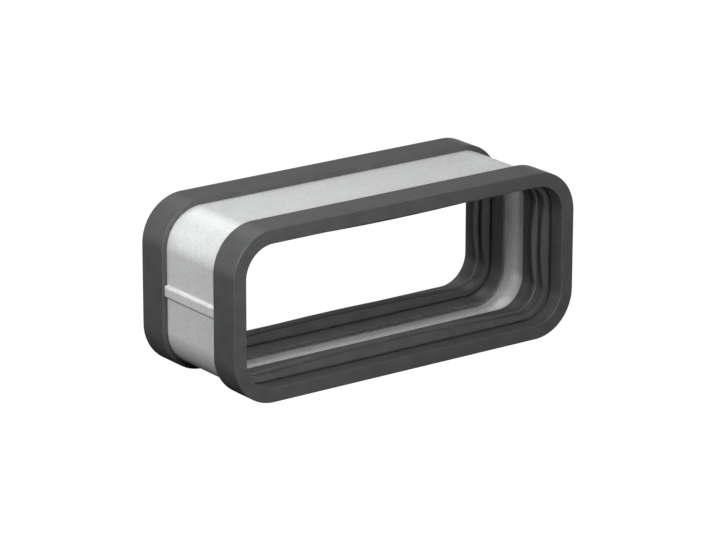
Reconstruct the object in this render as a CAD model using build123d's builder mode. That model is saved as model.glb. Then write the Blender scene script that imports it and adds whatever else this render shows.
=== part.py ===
"""Flat duct coupler, in millimetres.

A sleeve of galvanised sheet steel, a rounded rectangle closed by a flat lock seam, with a moulded
rubber gasket ring pushed over each end. A flat duct slides into either end and is sealed by the
two lips inside that ring.

The origin is the centre of the coupler. X runs along the long side, Y along the duct and Z up.
"""

from math import radians, tan
import os

from build123d import *

os.makedirs("parts", exist_ok=True)

# The sleeve, measured over the outside of its sheet
sleeve_width = 228.4
sleeve_height = 92.4
sleeve_corner_radius = 23.0
sleeve_length = 83.0
sheet_thickness = 0.5

# The lock seam, half-way up the left side: four layers of the sheet, hooked into each other
seam_flat_height = 4.3
seam_layer_gap = 0.06
seam_hook_gap = 0.2
seam_joggle_angle = 65.0
seam_joggle_radius = 0.9

# The rubber ring's seat on the sheet
sheet_face_gap = 0.05
sheet_end_gap = 0.1
seam_notch_gap = 0.25
seam_notch_radius = 0.4

# The rubber ring outside the sheet and over its end
band_thickness = 3.25
band_length = 20.0
end_wall_thickness = 3.4
band_edge_chamfer = 0.4
entry_edge_chamfer = 0.3

# The rubber ring inside the sheet
inner_leg_thickness = 4.45
inner_leg_length = 25.5
skirt_thickness = 1.4
skirt_length = 10.2
skirt_edge_chamfer = 0.3

# The two sealing lips, on the edges of a raised bed: highest half-way along each side of the ring,
# and little higher than the bed round its corners
bed_start = 12.1
bed_length = 10.9
bed_height = 1.85
lip_height_on_long_side = 5.5
lip_height_on_short_side = 4.9
lip_height_in_corner = 2.9
lip_blank_spare = 0.6
lip_base_thickness = 2.9
lip_tip_thickness = 0.8
lip_lean = 0.6

# The root grooves beside the bed, which let the lips bend
root_groove_width = 1.5
root_groove_floor = 0.7
root_groove_depth = 0.8

# Levels of the sheet's layers in the seam, as centre lines from the wall outwards
layer_pitch = sheet_thickness + seam_layer_gap
wall_right = sleeve_width / 2 - sheet_thickness / 2
wall_top = sleeve_height / 2 - sheet_thickness / 2
wall_corner_radius = sleeve_corner_radius - sheet_thickness / 2
layer_x = [-wall_right - layer_pitch * layer for layer in range(4)]

# Heights in the seam: the two folds, the hooked ends, and the joggle that steps the sheet outwards
fold_height = seam_flat_height / 2
hook_height = fold_height - seam_hook_gap
fold_outer_radius = layer_pitch + sheet_thickness / 2
joggle_start = fold_height + 2 * layer_pitch * tan(radians(seam_joggle_angle / 2))
joggle_end = joggle_start + 3 * layer_pitch / tan(radians(seam_joggle_angle))
joggle_top = joggle_end + seam_joggle_radius * tan(radians(seam_joggle_angle / 2))

# The coupler's outer box, over the rubber bands
band_offset = sheet_face_gap + band_thickness
coupler_width = sleeve_width + 2 * band_offset
coupler_height = sleeve_height + 2 * band_offset
coupler_depth = sleeve_length + 2 * (sheet_end_gap + end_wall_thickness)
coupler_corner_radius = sleeve_corner_radius + band_offset

# Stations of the ring's section: distance from the end face, then depth in from the band's outside
slot_bottom = end_wall_thickness
leg_back = band_offset + sheet_thickness + sheet_face_gap
leg_face = leg_back + inner_leg_thickness
skirt_end = inner_leg_length + skirt_length
bed_end = bed_start + bed_length
bed_face = leg_face + bed_height
lip_blank = leg_face + max(lip_height_on_long_side, lip_height_on_short_side) + lip_blank_spare
root_grooves = [bed_start - root_groove_width / 2, bed_end + root_groove_width / 2]


# The sleeve: one strip of sheet, drawn as its centre line from hooked end to hooked end
with BuildPart() as sleeve:
    with BuildSketch(Plane.XZ):
        with BuildLine() as sheet_line:
            lower_hook = Line((layer_x[2], -hook_height), (layer_x[2], fold_height))
            JernArc(lower_hook @ 1, lower_hook % 1, layer_pitch, -180)
            wall = FilletPolyline(
                (layer_x[0], fold_height),
                (layer_x[0], -wall_top),
                (wall_right, -wall_top),
                (wall_right, wall_top),
                (layer_x[0], wall_top),
                (layer_x[0], joggle_end),
                (layer_x[3], joggle_start),
                (layer_x[3], -fold_height),
                radius=[wall_corner_radius] * 4 + [seam_joggle_radius, 2 * layer_pitch],
            )
            upper_fold = JernArc(wall @ 1, wall % 1, layer_pitch, 180)
            Line(upper_fold @ 1, (layer_x[1], hook_height))
        trace(sheet_line.line, line_width=sheet_thickness)
    extrude(amount=sleeve_length / 2, both=True)


# The ring's section, with X along the duct from the end face and Y in from the band's outside
with BuildSketch() as ring_section:
    with BuildLine():
        Polyline(
            (0, 0),
            (band_length, 0),
            (band_length, band_thickness),
            (slot_bottom, band_thickness),
            (slot_bottom, leg_back),
            (inner_leg_length, leg_back),
            (inner_leg_length, leg_face - skirt_thickness),
            (skirt_end, leg_face - skirt_thickness),
            (skirt_end, leg_face),
            (0, leg_face),
            close=True,
        )
    make_face()
    with BuildLine():
        Polyline(
            (bed_start, leg_face),
            (bed_start + lip_lean, lip_blank),
            (bed_start + lip_lean + lip_tip_thickness, lip_blank),
            (bed_start + lip_base_thickness, bed_face),
            (bed_end - lip_base_thickness, bed_face),
            (bed_end - lip_lean - lip_tip_thickness, lip_blank),
            (bed_end - lip_lean, lip_blank),
            (bed_end, leg_face),
            close=True,
        )
    make_face()
    for groove_middle in root_grooves:
        with BuildLine():
            Polyline(
                (groove_middle - root_groove_width / 2, leg_face),
                (groove_middle - root_groove_floor / 2, leg_face - root_groove_depth),
                (groove_middle + root_groove_floor / 2, leg_face - root_groove_depth),
                (groove_middle + root_groove_width / 2, leg_face),
                close=True,
            )
        make_face(mode=Mode.SUBTRACT)
    chamfer(ring_section.vertices().group_by(Axis.Y)[0], band_edge_chamfer)
    chamfer(ring_section.vertices().group_by(Axis.X)[-1], skirt_edge_chamfer)
    chamfer(ring_section.vertices().group_by(Axis.X)[0].sort_by(Axis.Y)[-1], entry_edge_chamfer)


# The opening that the lip tips leave, seen along the duct: each side's arc bows inwards to the
# side's middle, and a round corner joins each side to the next
side_end_x = coupler_width / 2 - coupler_corner_radius
side_end_z = coupler_height / 2 - coupler_corner_radius
tip_corner_radius = coupler_corner_radius - leg_face - lip_height_in_corner
corner_middle = tip_corner_radius / 2**0.5
long_side_middle = coupler_height / 2 - leg_face - lip_height_on_long_side
short_side_middle = coupler_width / 2 - leg_face - lip_height_on_short_side

with BuildSketch() as tip_opening:
    with BuildLine():
        for way in (1, -1):
            ThreePointArc(
                (-side_end_x, way * (side_end_z + tip_corner_radius)),
                (0, way * long_side_middle),
                (side_end_x, way * (side_end_z + tip_corner_radius)),
            )
            ThreePointArc(
                (way * (side_end_x + tip_corner_radius), side_end_z),
                (way * short_side_middle, 0),
                (way * (side_end_x + tip_corner_radius), -side_end_z),
            )
            for end in (1, -1):
                ThreePointArc(
                    (way * side_end_x, end * (side_end_z + tip_corner_radius)),
                    (way * (side_end_x + corner_middle), end * (side_end_z + corner_middle)),
                    (way * (side_end_x + tip_corner_radius), end * side_end_z),
                )
    make_face()


# The front ring: a quarter of it, mirrored to the right and then downwards
front_face = -coupler_depth / 2
corner_x = -(coupler_width / 2 - coupler_corner_radius)
corner_z = coupler_height / 2 - coupler_corner_radius
top_run = Plane((0, front_face, coupler_height / 2), x_dir=(0, 1, 0), z_dir=(-1, 0, 0))
corner_start = Plane((corner_x, front_face, coupler_height / 2), x_dir=(0, 1, 0), z_dir=(-1, 0, 0))
side_run = Plane((-coupler_width / 2, front_face, corner_z), x_dir=(0, 1, 0), z_dir=(0, 0, -1))
corner_axis = Axis((corner_x, front_face, corner_z), (0, -1, 0))

with BuildPart() as front_gasket:
    with BuildSketch(top_run):
        add(ring_section.sketch)
    extrude(amount=-corner_x)
    with BuildSketch(corner_start):
        add(ring_section.sketch)
    revolve(axis=corner_axis, revolution_arc=90)
    with BuildSketch(side_run):
        add(ring_section.sketch)
    extrude(amount=corner_z)
    mirror(about=Plane.YZ)
    mirror(about=Plane.XY)

    # The lips' free edges, cut back to the bowed opening
    with BuildSketch(Plane.XZ.offset(-front_face - bed_start)):
        add(tip_opening.sketch)
    extrude(amount=-bed_length, mode=Mode.SUBTRACT)

    # The seam's notch, from the sheet's end to the back of the band
    with BuildSketch(Plane.XZ.offset(-front_face - slot_bottom)):
        with BuildLine():
            notch_outside = layer_x[3] - sheet_thickness / 2 - seam_notch_gap
            notch_bottom = -fold_height - fold_outer_radius - seam_notch_gap
            notch_top = joggle_top + seam_notch_gap
            Polyline(
                (-wall_right, notch_bottom),
                (notch_outside, notch_bottom),
                (notch_outside, notch_top),
                (-wall_right, notch_top),
                close=True,
            )
        notch_face = make_face()
        fillet(notch_face.vertices().group_by(Axis.X)[0], seam_notch_radius)
    extrude(amount=-(band_length - slot_bottom), mode=Mode.SUBTRACT)

with BuildPart() as rear_gasket:
    mirror(front_gasket.part, about=Plane.XZ)


sleeve.part.label = "sleeve"
front_gasket.part.label = "front_gasket"
rear_gasket.part.label = "rear_gasket"

export_step(sleeve.part, "parts/sleeve.step")
export_step(front_gasket.part, "parts/front_gasket.step")
export_step(rear_gasket.part, "parts/rear_gasket.step")
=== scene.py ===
"""Flat duct coupler: the looks of a galvanised sheet sleeve with a moulded rubber gasket ring over
each end, standing on a white studio floor. Everything is in metres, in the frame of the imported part.
"""

import math

import bmesh
import bpy
from mathutils import Matrix, Vector


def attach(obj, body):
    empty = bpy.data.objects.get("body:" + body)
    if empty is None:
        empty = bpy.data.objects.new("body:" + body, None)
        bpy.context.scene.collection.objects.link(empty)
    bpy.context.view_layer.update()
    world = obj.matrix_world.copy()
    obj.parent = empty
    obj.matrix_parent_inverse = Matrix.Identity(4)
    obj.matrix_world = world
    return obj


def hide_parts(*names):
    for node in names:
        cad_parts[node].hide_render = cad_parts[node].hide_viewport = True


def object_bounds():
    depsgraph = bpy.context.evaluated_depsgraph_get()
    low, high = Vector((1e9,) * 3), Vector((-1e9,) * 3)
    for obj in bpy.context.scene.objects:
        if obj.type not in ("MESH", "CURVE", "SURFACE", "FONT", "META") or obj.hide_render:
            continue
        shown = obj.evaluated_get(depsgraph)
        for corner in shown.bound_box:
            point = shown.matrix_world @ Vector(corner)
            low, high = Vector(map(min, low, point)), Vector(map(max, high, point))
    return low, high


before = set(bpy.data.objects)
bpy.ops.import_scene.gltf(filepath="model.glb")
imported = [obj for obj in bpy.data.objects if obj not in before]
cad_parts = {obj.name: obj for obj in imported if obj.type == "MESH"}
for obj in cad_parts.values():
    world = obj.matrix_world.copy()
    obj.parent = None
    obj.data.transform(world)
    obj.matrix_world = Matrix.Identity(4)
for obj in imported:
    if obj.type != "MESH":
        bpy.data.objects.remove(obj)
cad_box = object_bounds()


# The sleeve: one strip of hot-dip galvanised sheet, half a millimetre thick, rolled to a flat rounded
# shape. Its two edges are hooked into each other and pressed flat, as a lock seam half-way up its left
# side.
mm = 0.001
sheet_thickness = 0.5 * mm
sleeve_depth = 83.0 * mm
wall_right = 113.95 * mm
wall_top = 45.95 * mm
wall_bend = 22.75 * mm
wall_bend_steps = 28

# The lock seam: where its four layers lie, and how high its folds, its hooks and its joggle reach
seam_layers = 4
layer_pitch = 0.56 * mm
layer_x = [-wall_right - layer_pitch * layer for layer in range(seam_layers)]
fold_height = 2.15 * mm
hook_height = 1.95 * mm
joggle_start = 2.864 * mm
joggle_end = 3.647 * mm
joggle_outer_bend = 0.573 * mm
joggle_inner_bend = 0.713 * mm
seam_bend_steps = 6
weld_distance = 0.001 * mm


def bent_line(mesh, corners, bend_steps, closed=False):
    """Join corners, each a place and how far from it its bend starts, by edges, and round the bends."""
    points = [mesh.verts.new(place) for place, bend in corners]
    for first, second in zip(points, points[1:]):
        mesh.edges.new((first, second))
    if closed:
        mesh.edges.new((points[-1], points[0]))
    for bend in sorted({bend for place, bend in corners if bend}):
        bmesh.ops.bevel(
            mesh,
            geom=[point for point, (place, own_bend) in zip(points, corners) if own_bend == bend],
            offset=bend,
            offset_type="OFFSET",
            segments=bend_steps[bend],
            profile=0.5,
            affect="VERTICES",
            material=-1,
        )
    bmesh.ops.remove_doubles(mesh, verts=mesh.verts, dist=weld_distance)


def drawn_along(mesh, edges, move, steps):
    """Draw a line of edges out along a straight move in even steps, and return where it ends."""
    for step in range(steps):
        drawn = bmesh.ops.extrude_edge_only(mesh, edges=edges)["geom"]
        ends = [item for item in drawn if isinstance(item, bmesh.types.BMVert)]
        bmesh.ops.translate(mesh, vec=move / steps, verts=ends)
        edges = [item for item in drawn if isinstance(item, bmesh.types.BMEdge)]
    return edges


def piece_from(mesh, name, material):
    """Make a smooth-shaded piece of a finished mesh, with one material."""
    for face in mesh.faces:
        face.smooth = True
    data = bpy.data.meshes.new(name)
    mesh.to_mesh(data)
    mesh.free()
    data.materials.append(material)
    piece = bpy.data.objects.new(name, data)
    bpy.context.scene.collection.objects.link(piece)
    return piece


def new_node(tree, kind, inputs, **settings):
    """Add a node to a tree, and give each of its inputs a value or the output that feeds it."""
    node = tree.nodes.new(kind)
    for setting, choice in settings.items():
        setattr(node, setting, choice)
    for socket, value in inputs.items():
        if isinstance(value, bpy.types.NodeSocket):
            tree.links.new(value, node.inputs[socket])
        else:
            node.inputs[socket].default_value = value
    return node


def toned(tree, pattern, dark_up_to, dark, pale_from, pale):
    """Colour a pattern from a dark tone to a pale one, and return the colour."""
    ramp = new_node(tree, "ShaderNodeValToRGB", {"Fac": pattern})
    stops = ramp.color_ramp.elements
    stops[0].position = dark_up_to
    stops[0].color = dark
    stops[1].position = pale_from
    stops[1].color = pale
    return ramp.outputs["Color"]


def ranged(tree, pattern, lowest, highest):
    """Stretch a pattern from a lowest value to a highest one."""
    stretch = new_node(tree, "ShaderNodeMapRange", {"Value": pattern, "To Min": lowest, "To Max": highest})
    return stretch.outputs["Result"]


def embossed(tree, pattern, strength, height):
    """Make fine relief of a pattern, and return the way the surface faces."""
    relief = new_node(tree, "ShaderNodeBump", {"Height": pattern, "Strength": strength, "Distance": height})
    return relief.outputs["Normal"]


# The zinc: small spangles under a finer grain and wide soft clouds, half bare metal and half dull bloom
zinc_dark = (0.62, 0.625, 0.63, 1.0)
zinc_pale = (0.74, 0.745, 0.75, 1.0)
zinc_dark_up_to = 0.28
zinc_pale_from = 0.72
zinc_metal_share = 0.5
zinc_smoothest = 0.40
zinc_roughest = 0.56
spangles_per_metre = 900.0
spangle_softness = 0.35
grains_per_metre = 420.0
grain_detail = 5.0
grain_crispness = 0.62
grain_share = 0.62
clouds_per_metre = 38.0
cloud_detail = 3.0
cloud_share = 0.3
zinc_relief_strength = 0.5
zinc_relief_height = 0.012 * mm

galvanised = bpy.data.materials.new("galvanised_sheet")
galvanised.use_nodes = True
zinc_tree = galvanised.node_tree
zinc_place = new_node(zinc_tree, "ShaderNodeTexCoord", {}).outputs["Object"]
spangle = new_node(
    zinc_tree,
    "ShaderNodeTexVoronoi",
    {"Vector": zinc_place, "Scale": spangles_per_metre, "Smoothness": spangle_softness},
    feature="SMOOTH_F1",
)
spangle_grey = new_node(zinc_tree, "ShaderNodeSeparateColor", {0: spangle.outputs["Color"]})
grain = new_node(
    zinc_tree,
    "ShaderNodeTexNoise",
    {
        "Vector": zinc_place,
        "Scale": grains_per_metre,
        "Detail": grain_detail,
        "Roughness": grain_crispness,
    },
)
cloud = new_node(
    zinc_tree,
    "ShaderNodeTexNoise",
    {"Vector": zinc_place, "Scale": clouds_per_metre, "Detail": cloud_detail},
)
spangle_and_grain = new_node(
    zinc_tree,
    "ShaderNodeMix",
    {"Factor": grain_share, "A": spangle_grey.outputs[0], "B": grain.outputs["Fac"]},
).outputs["Result"]
zinc_pattern = new_node(
    zinc_tree,
    "ShaderNodeMix",
    {"Factor": cloud_share, "A": spangle_and_grain, "B": cloud.outputs["Fac"]},
).outputs["Result"]

zinc = zinc_tree.nodes["Principled BSDF"].inputs
zinc["Metallic"].default_value = zinc_metal_share
zinc_tone = toned(zinc_tree, zinc_pattern, zinc_dark_up_to, zinc_dark, zinc_pale_from, zinc_pale)
zinc_gloss = ranged(zinc_tree, spangle_and_grain, zinc_smoothest, zinc_roughest)
zinc_relief = embossed(zinc_tree, spangle_and_grain, zinc_relief_strength, zinc_relief_height)
zinc_tree.links.new(zinc_tone, zinc["Base Color"])
zinc_tree.links.new(zinc_gloss, zinc["Roughness"])
zinc_tree.links.new(zinc_relief, zinc["Normal"])

# The strip's middle line at the front edge, from the hook inside the seam round to the other hook
sheet = bmesh.new()
sheet_front = -sleeve_depth / 2
bent_line(
    sheet,
    [
        (Vector((layer_x[2], sheet_front, -hook_height)), 0),
        (Vector((layer_x[2], sheet_front, fold_height + layer_pitch)), layer_pitch),
        (Vector((layer_x[0], sheet_front, fold_height + layer_pitch)), layer_pitch),
        (Vector((layer_x[0], sheet_front, -wall_top)), wall_bend),
        (Vector((wall_right, sheet_front, -wall_top)), wall_bend),
        (Vector((wall_right, sheet_front, wall_top)), wall_bend),
        (Vector((layer_x[0], sheet_front, wall_top)), wall_bend),
        (Vector((layer_x[0], sheet_front, joggle_end)), joggle_outer_bend),
        (Vector((layer_x[3], sheet_front, joggle_start)), joggle_inner_bend),
        (Vector((layer_x[3], sheet_front, -fold_height - layer_pitch)), layer_pitch),
        (Vector((layer_x[1], sheet_front, -fold_height - layer_pitch)), layer_pitch),
        (Vector((layer_x[1], sheet_front, hook_height)), 0),
    ],
    {
        wall_bend: wall_bend_steps,
        layer_pitch: seam_bend_steps,
        joggle_outer_bend: seam_bend_steps,
        joggle_inner_bend: seam_bend_steps,
    },
)
drawn_along(sheet, sheet.edges[:], Vector((0, sleeve_depth, 0)), 1)
bmesh.ops.recalc_face_normals(sheet, faces=sheet.faces)
sleeve = piece_from(sheet, "galvanised_sleeve", galvanised)
sheet_wall = sleeve.modifiers.new("sheet_wall", "SOLIDIFY")
sheet_wall.thickness = sheet_thickness
sheet_wall.offset = 0.0
sheet_wall.use_even_offset = True
sheet_flats = sleeve.modifiers.new("sheet_flats", "WEIGHTED_NORMAL")
sheet_flats.keep_sharp = True
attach(sleeve, "root")
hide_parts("sleeve")


# The gasket rings: one moulding of dark grey rubber over each end of the sleeve, with a slot for the
# sheet and a wide band outside. Inside are a land for the duct, two sealing lips on a raised bed and a
# thin skirt. The lips stand high half-way along the sides and little above the bed round the corners.
half_width = 117.5 * mm
half_height = 49.5 * mm
half_depth = 45.0 * mm
ring_corner = 26.3 * mm
ring_corner_steps = 22
long_side_steps = 20
short_side_steps = 8
side_end_x = half_width - ring_corner
side_end_z = half_height - ring_corner

# Its section: distances from the end face, and depths in from the band's outside
band_end = 20.0 * mm
band_thickness = 3.25 * mm
slot_bottom = 3.4 * mm
slot_inside = 3.85 * mm
leg_end = 25.5 * mm
leg_face = 8.3 * mm
skirt_underside = 6.9 * mm
skirt_end = 35.7 * mm
bed_start = 12.1 * mm
bed_end = 23.0 * mm
bed_face = 10.15 * mm

# The root grooves beside the bed, which run in under the lips and let them bend
front_groove_width = 2.3 * mm
rear_groove_width = 2.0 * mm
groove_wall_lean = 0.3 * mm
groove_floor = 6.0 * mm
groove_undercut = 1.5 * mm
groove_roof = 7.7 * mm

# The lips, whose flanks taper as far as the height of an untrimmed lip
lip_height_on_long_side = 5.5 * mm
lip_height_on_short_side = 4.9 * mm
lip_height_in_corner = 2.9 * mm
untrimmed_lip_height = 6.1 * mm
lip_base = 2.9 * mm
lip_lean = 0.6 * mm
lip_tip = 0.8 * mm
bed_height = bed_face - leg_face
outer_flank_slope = lip_lean / untrimmed_lip_height
inner_flank_slope = (lip_base - lip_lean - lip_tip) / (untrimmed_lip_height - bed_height)
tip_depth = leg_face + lip_height_on_long_side
tip_outside = outer_flank_slope * lip_height_on_long_side
tip_inside = lip_base - inner_flank_slope * (tip_depth - bed_face)

# How far from a corner of the section its rounding starts, and in how many steps it goes round
band_edge = 0.4 * mm
thin_edge = 0.3 * mm
tip_edge = 0.34 * mm
root_fillet = 0.8 * mm
edge_steps = {band_edge: 4, root_fillet: 4, thin_edge: 3, tip_edge: 4}

section_corners = [
    (0.0, 0.0, band_edge),
    (band_end, 0.0, band_edge),
    (band_end, band_thickness, thin_edge),
    (slot_bottom, band_thickness, 0),
    (slot_bottom, slot_inside, 0),
    (leg_end, slot_inside, thin_edge),
    (leg_end, skirt_underside, thin_edge),
    (skirt_end, skirt_underside, thin_edge),
    (skirt_end, leg_face, thin_edge),
    (bed_end + rear_groove_width, leg_face, thin_edge),
    (bed_end + rear_groove_width - groove_wall_lean, groove_floor, thin_edge),
    (bed_end - groove_undercut, groove_floor, thin_edge),
    (bed_end - groove_undercut, groove_roof, thin_edge),
    (bed_end, leg_face, thin_edge),
    (bed_end - tip_outside, tip_depth, tip_edge),
    (bed_end - tip_inside, tip_depth, tip_edge),
    (bed_end - lip_base, bed_face, root_fillet),
    (bed_start + lip_base, bed_face, root_fillet),
    (bed_start + tip_inside, tip_depth, tip_edge),
    (bed_start + tip_outside, tip_depth, tip_edge),
    (bed_start, leg_face, thin_edge),
    (bed_start + groove_undercut, groove_roof, thin_edge),
    (bed_start + groove_undercut, groove_floor, thin_edge),
    (bed_start - front_groove_width + groove_wall_lean, groove_floor, thin_edge),
    (bed_start - front_groove_width, leg_face, thin_edge),
    (0.0, leg_face, band_edge),
]


def lip_height(x, z):
    """How high the lips stand over the leg at a place along the ring."""
    if abs(x) <= side_end_x:
        bow = lip_height_on_long_side - lip_height_in_corner
        return lip_height_on_long_side - bow * (x / side_end_x) ** 2
    if abs(z) <= side_end_z:
        bow = lip_height_on_short_side - lip_height_in_corner
        return lip_height_on_short_side - bow * (z / side_end_z) ** 2
    return lip_height_in_corner


def depth_and_inward(x, z):
    """How deep a place lies in from the band's outside, and the direction in which that depth grows."""
    corner = Vector((max(abs(x) - side_end_x, 0.0), 0.0, max(abs(z) - side_end_z, 0.0)))
    if corner.x and corner.z:
        outward = Vector((math.copysign(corner.x, x), 0.0, math.copysign(corner.z, z)))
        return ring_corner - corner.length, -outward.normalized()
    if corner.x:
        return half_width - abs(x), Vector((-math.copysign(1.0, x), 0.0, 0.0))
    return half_height - abs(z), Vector((0.0, 0.0, -math.copysign(1.0, z)))


# The rubber: nearly even dark grey, a little glossier in patches, with the fine grain of its mould
rubber_dark = (0.046, 0.047, 0.048, 1.0)
rubber_pale = (0.058, 0.059, 0.060, 1.0)
rubber_dark_up_to = 0.3
rubber_pale_from = 0.7
rubber_shine = 0.45
rubber_smoothest = 0.40
rubber_roughest = 0.52
patches_per_metre = 95.0
patch_detail = 4.0
mould_grains_per_metre = 1900.0
mould_grain_detail = 3.0
mould_relief_strength = 0.35
mould_relief_height = 0.01 * mm

rubber = bpy.data.materials.new("gasket_rubber")
rubber.use_nodes = True
rubber_tree = rubber.node_tree
rubber_place = new_node(rubber_tree, "ShaderNodeTexCoord", {}).outputs["Object"]
patches = new_node(
    rubber_tree,
    "ShaderNodeTexNoise",
    {"Vector": rubber_place, "Scale": patches_per_metre, "Detail": patch_detail},
).outputs["Fac"]
mould_grain = new_node(
    rubber_tree,
    "ShaderNodeTexNoise",
    {"Vector": rubber_place, "Scale": mould_grains_per_metre, "Detail": mould_grain_detail},
).outputs["Fac"]

compound = rubber_tree.nodes["Principled BSDF"].inputs
compound["Specular IOR Level"].default_value = rubber_shine
rubber_tone = toned(rubber_tree, patches, rubber_dark_up_to, rubber_dark, rubber_pale_from, rubber_pale)
rubber_gloss = ranged(rubber_tree, patches, rubber_smoothest, rubber_roughest)
mould_relief = embossed(rubber_tree, mould_grain, mould_relief_strength, mould_relief_height)
rubber_tree.links.new(rubber_tone, compound["Base Color"])
rubber_tree.links.new(rubber_gloss, compound["Roughness"])
rubber_tree.links.new(mould_relief, compound["Normal"])

# A quarter of the front ring: the top from its middle to the corner, round it, and down half a side
ring = bmesh.new()
bent_line(
    ring,
    [(Vector((0, y - half_depth, half_height - depth)), edge) for y, depth, edge in section_corners],
    edge_steps,
    closed=True,
)
ring_end = drawn_along(ring, ring.edges[:], Vector((-side_end_x, 0, 0)), long_side_steps)
ring_turn = bmesh.ops.spin(
    ring,
    geom=list({point for edge in ring_end for point in edge.verts}) + ring_end,
    cent=(-side_end_x, 0, side_end_z),
    axis=(0, -1, 0),
    angle=math.pi / 2,
    steps=ring_corner_steps,
    use_merge=False,
)
ring_end = [item for item in ring_turn["geom_last"] if isinstance(item, bmesh.types.BMEdge)]
drawn_along(ring, ring_end, Vector((0, 0, -side_end_z)), short_side_steps)

# The lips follow the bow: each point above the bed slides along its flank to the height there
above_bed = 0.02 * mm
for point in ring.verts:
    depth, inward = depth_and_inward(point.co.x, point.co.z)
    if depth > bed_face + above_bed:
        share = (depth - bed_face) / (tip_depth - bed_face)
        new_depth = bed_face + share * (leg_face + lip_height(point.co.x, point.co.z) - bed_face)
        from_end = point.co.y + half_depth
        if from_end < (bed_start + bed_end) / 2:
            root, way = bed_start, 1
        else:
            root, way = bed_end, -1
        old_outer = outer_flank_slope * (depth - leg_face)
        old_inner = lip_base - inner_flank_slope * (depth - bed_face)
        new_outer = outer_flank_slope * (new_depth - leg_face)
        new_inner = lip_base - inner_flank_slope * (new_depth - bed_face)
        across = (way * (from_end - root) - old_outer) / (old_inner - old_outer)
        new_from_end = root + way * (new_outer + across * (new_inner - new_outer))
        point.co += inward * (new_depth - depth)
        point.co.y = new_from_end - half_depth

mirror_weld = 0.002 * mm
for axis in ("X", "Z"):
    bmesh.ops.mirror(
        ring,
        geom=ring.verts[:] + ring.edges[:] + ring.faces[:],
        matrix=Matrix.Identity(4),
        merge_dist=mirror_weld,
        axis=axis,
    )
bmesh.ops.recalc_face_normals(ring, faces=ring.faces)
rear_ring = ring.copy()
bmesh.ops.scale(rear_ring, vec=(1, -1, 1), verts=rear_ring.verts)
bmesh.ops.recalc_face_normals(rear_ring, faces=rear_ring.faces)

# The notch that lets each band pass over the lock seam, from the sheet's edge out past the band's back
notch_outside = 116.13 * mm
notch_inside = 114.0 * mm
notch_bottom = -3.21 * mm
notch_top = 4.47 * mm
notch_edge = 0.4 * mm
notch_edge_steps = 4
past_band = 1.0 * mm
sheet_edge = half_depth - sleeve_depth / 2
notch_length = band_end - sheet_edge + past_band
notch_middle_x = -(notch_outside + notch_inside) / 2
notch_middle_y = half_depth - sheet_edge - notch_length / 2
notch_middle_z = (notch_top + notch_bottom) / 2
sharpest_smooth_bend = math.radians(42.0)

rings = (
    ("front_ring", "front_gasket", ring, -1),
    ("rear_ring", "rear_gasket", rear_ring, 1),
)
for name, node, mesh, way in rings:
    gasket = piece_from(mesh, name, rubber)
    notch = bmesh.new()
    bmesh.ops.create_cube(notch, size=1.0)
    bmesh.ops.scale(
        notch,
        vec=(notch_outside - notch_inside, notch_length, notch_top - notch_bottom),
        verts=notch.verts,
    )
    bmesh.ops.translate(notch, vec=(notch_middle_x, way * notch_middle_y, notch_middle_z), verts=notch.verts)
    outer_edges = [
        edge
        for edge in notch.edges
        if all(point.co.x < notch_middle_x for point in edge.verts)
        and abs(edge.verts[0].co.y - edge.verts[1].co.y) > notch_length / 2
    ]
    bmesh.ops.bevel(
        notch,
        geom=outer_edges,
        offset=notch_edge,
        offset_type="OFFSET",
        segments=notch_edge_steps,
        profile=0.5,
        affect="EDGES",
        material=-1,
    )
    cutter = piece_from(notch, name + "_notch", rubber)
    cut = gasket.modifiers.new("seam_notch", "BOOLEAN")
    cut.operation = "DIFFERENCE"
    cut.solver = "EXACT"
    cut.object = cutter
    cut_mesh = bpy.data.meshes.new_from_object(gasket.evaluated_get(bpy.context.evaluated_depsgraph_get()))
    gasket.modifiers.remove(cut)
    gasket.data = cut_mesh
    bpy.data.objects.remove(cutter)
    cut_mesh.set_sharp_from_angle(angle=sharpest_smooth_bend)
    ring_flats = gasket.modifiers.new("ring_flats", "WEIGHTED_NORMAL")
    ring_flats.keep_sharp = True
    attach(gasket, "root")
    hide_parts(node)


# The studio: white all round to the camera. The camera stands off the front left corner, as for a
# catalogue shot with a long lens, and the light is soft, most of it from above on the left.
camera_place = Vector((-1.23782, -1.68733, 0.66706))
camera_tilt = math.radians(72.2598)
camera_roll = math.radians(-0.1172)
camera_heading = math.radians(-36.1821)
lens_millimetres = 195.81
sensor_millimetres = 36.0
nearest_seen = 0.05
farthest_seen = 50.0

camera_data = bpy.data.cameras.new("studio_camera")
camera_data.lens = lens_millimetres
camera_data.sensor_width = sensor_millimetres
camera_data.clip_start = nearest_seen
camera_data.clip_end = farthest_seen
camera = bpy.data.objects.new("studio_camera", camera_data)
camera.location = camera_place
camera.rotation_euler = (camera_tilt, camera_roll, camera_heading)
bpy.context.scene.collection.objects.link(camera)
bpy.context.scene.camera = camera
bpy.context.scene.view_settings.view_transform = "Standard"


def larger(tree, first, second):
    """The larger of two values."""
    return new_node(tree, "ShaderNodeMath", {0: first, 1: second}, operation="MAXIMUM").outputs[0]


def background_rays(tree):
    """One for rays from the camera, from gloss and through glass, nought for the light on the object."""
    rays = tree.nodes.new("ShaderNodeLightPath").outputs
    camera_or_gloss = larger(tree, rays["Is Camera Ray"], rays["Is Glossy Ray"])
    return larger(tree, camera_or_gloss, rays["Is Transmission Ray"])


# The world lights the object faintly. To the camera and to gloss it is white near the horizon and dim
# overhead.
white = (1.0, 1.0, 1.0, 1.0)
world_light = 0.03
ceiling_light = 0.22
backdrop_top = math.sin(math.radians(4.0))
ceiling_bottom = math.sin(math.radians(14.0))

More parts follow.
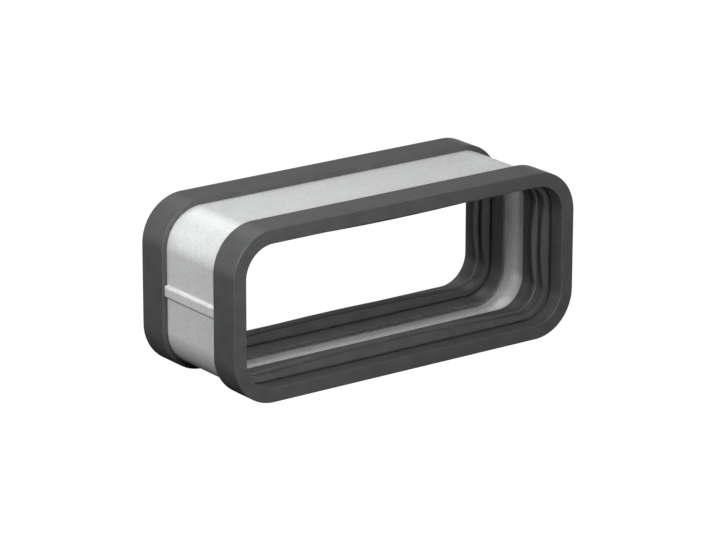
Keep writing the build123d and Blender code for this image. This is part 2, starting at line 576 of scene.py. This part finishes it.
world = bpy.data.worlds.new("studio_world")
world.use_nodes = True
bpy.context.scene.world = world
world_tree = world.node_tree
world_tree.nodes.clear()
sky_direction = new_node(world_tree, "ShaderNodeTexCoord", {}).outputs["Generated"]
sky_height = new_node(world_tree, "ShaderNodeSeparateXYZ", {0: sky_direction}).outputs["Z"]
backdrop_to_ceiling = new_node(
    world_tree,
    "ShaderNodeMapRange",
    {
        "Value": sky_height,
        "From Min": backdrop_top,
        "From Max": ceiling_bottom,
        "To Min": 1.0,
        "To Max": ceiling_light,
    },
    interpolation_type="SMOOTHSTEP",
)
soft_sky = new_node(world_tree, "ShaderNodeBackground", {"Color": white, "Strength": world_light})
seen_sky = new_node(
    world_tree,
    "ShaderNodeBackground",
    {"Color": white, "Strength": backdrop_to_ceiling.outputs["Result"]},
)
whole_sky = new_node(
    world_tree,
    "ShaderNodeMixShader",
    {0: background_rays(world_tree), 1: soft_sky.outputs[0], 2: seen_sky.outputs[0]},
)
new_node(world_tree, "ShaderNodeOutputWorld", {"Surface": whole_sky.outputs[0]})

# The floor glows white to the camera, and to gloss only from some way off, so that the undersides stay
# dark: the dark round the coupler that gloss sees is painted shadow. Apart from that glow it is a nearly
# black floor, which throws little light back at the object.
floor_reach = 6.0
# Painted shadow on the floor, seen only in gloss: no glow this near the middle, full glow from white_from
painted_shade_within = 0.3
white_from = 1.2
floor_grey = (0.05, 0.05, 0.05, 1.0)
thrown_back_grey = (0.03, 0.03, 0.03, 1.0)

floor_mesh = bmesh.new()
bmesh.ops.create_grid(floor_mesh, x_segments=1, y_segments=1, size=floor_reach)
bmesh.ops.translate(floor_mesh, vec=(0, 0, cad_box[0][2]), verts=floor_mesh.verts)
floor_data = bpy.data.meshes.new("studio_floor")
floor_mesh.to_mesh(floor_data)
floor_mesh.free()
floor = bpy.data.objects.new("studio_floor", floor_data)
bpy.context.scene.collection.objects.link(floor)

floor_paper = bpy.data.materials.new("floor_paper")
floor_paper.use_nodes = True
paper_tree = floor_paper.node_tree
paper_tree.nodes.clear()
paper_place = new_node(paper_tree, "ShaderNodeTexCoord", {}).outputs["Object"]
paper_distance = new_node(paper_tree, "ShaderNodeVectorMath", {0: paper_place}, operation="LENGTH")
# Painted shadow round the coupler: the glow that gloss sees fades to nought towards the middle
glow_past_painted_shade = new_node(
    paper_tree,
    "ShaderNodeMapRange",
    {"Value": paper_distance.outputs["Value"], "From Min": painted_shade_within, "From Max": white_from},
    interpolation_type="SMOOTHSTEP",
)
camera_ray = paper_tree.nodes.new("ShaderNodeLightPath").outputs["Is Camera Ray"]
glow_strength = larger(paper_tree, glow_past_painted_shade.outputs["Result"], camera_ray)
glow = new_node(paper_tree, "ShaderNodeEmission", {"Color": white, "Strength": glow_strength})
grey_paper = new_node(paper_tree, "ShaderNodeBsdfDiffuse", {"Color": floor_grey})
seen_paper = new_node(paper_tree, "ShaderNodeAddShader", {0: grey_paper.outputs[0], 1: glow.outputs[0]})
unseen_paper = new_node(paper_tree, "ShaderNodeBsdfDiffuse", {"Color": thrown_back_grey})
whole_paper = new_node(
    paper_tree,
    "ShaderNodeMixShader",
    {0: background_rays(paper_tree), 1: unseen_paper.outputs[0], 2: seen_paper.outputs[0]},
)
new_node(paper_tree, "ShaderNodeOutputMaterial", {"Surface": whole_paper.outputs[0]})
floor_data.materials.append(floor_paper)

# The softboxes: where each stands, the side of its square and its watts. All of them face the coupler.
softboxes = (
    ("left_softbox", (-1.2, 0.05, 0.95), 0.5, 20.0),
    ("front_softbox", (-0.2, -0.8, 1.0), 0.4, 7.5),
    ("side_softbox", (-0.45, -0.42, 0.4), 0.2, 1.3),
    ("low_front_softbox", (-0.16, -0.62, 0.16), 0.15, 2.5),
    ("back_softbox", (0.1, 0.9, 1.2), 0.8, 4.0),
)
for name, place, side, watts in softboxes:
    lamp_data = bpy.data.lights.new(name, "AREA")
    lamp_data.shape = "SQUARE"
    lamp_data.size = side
    lamp_data.energy = watts
    lamp = bpy.data.objects.new(name, lamp_data)
    lamp.location = place
    lamp.rotation_euler = (-Vector(place)).to_track_quat("-Z", "Y").to_euler()
    bpy.context.scene.collection.objects.link(lamp)
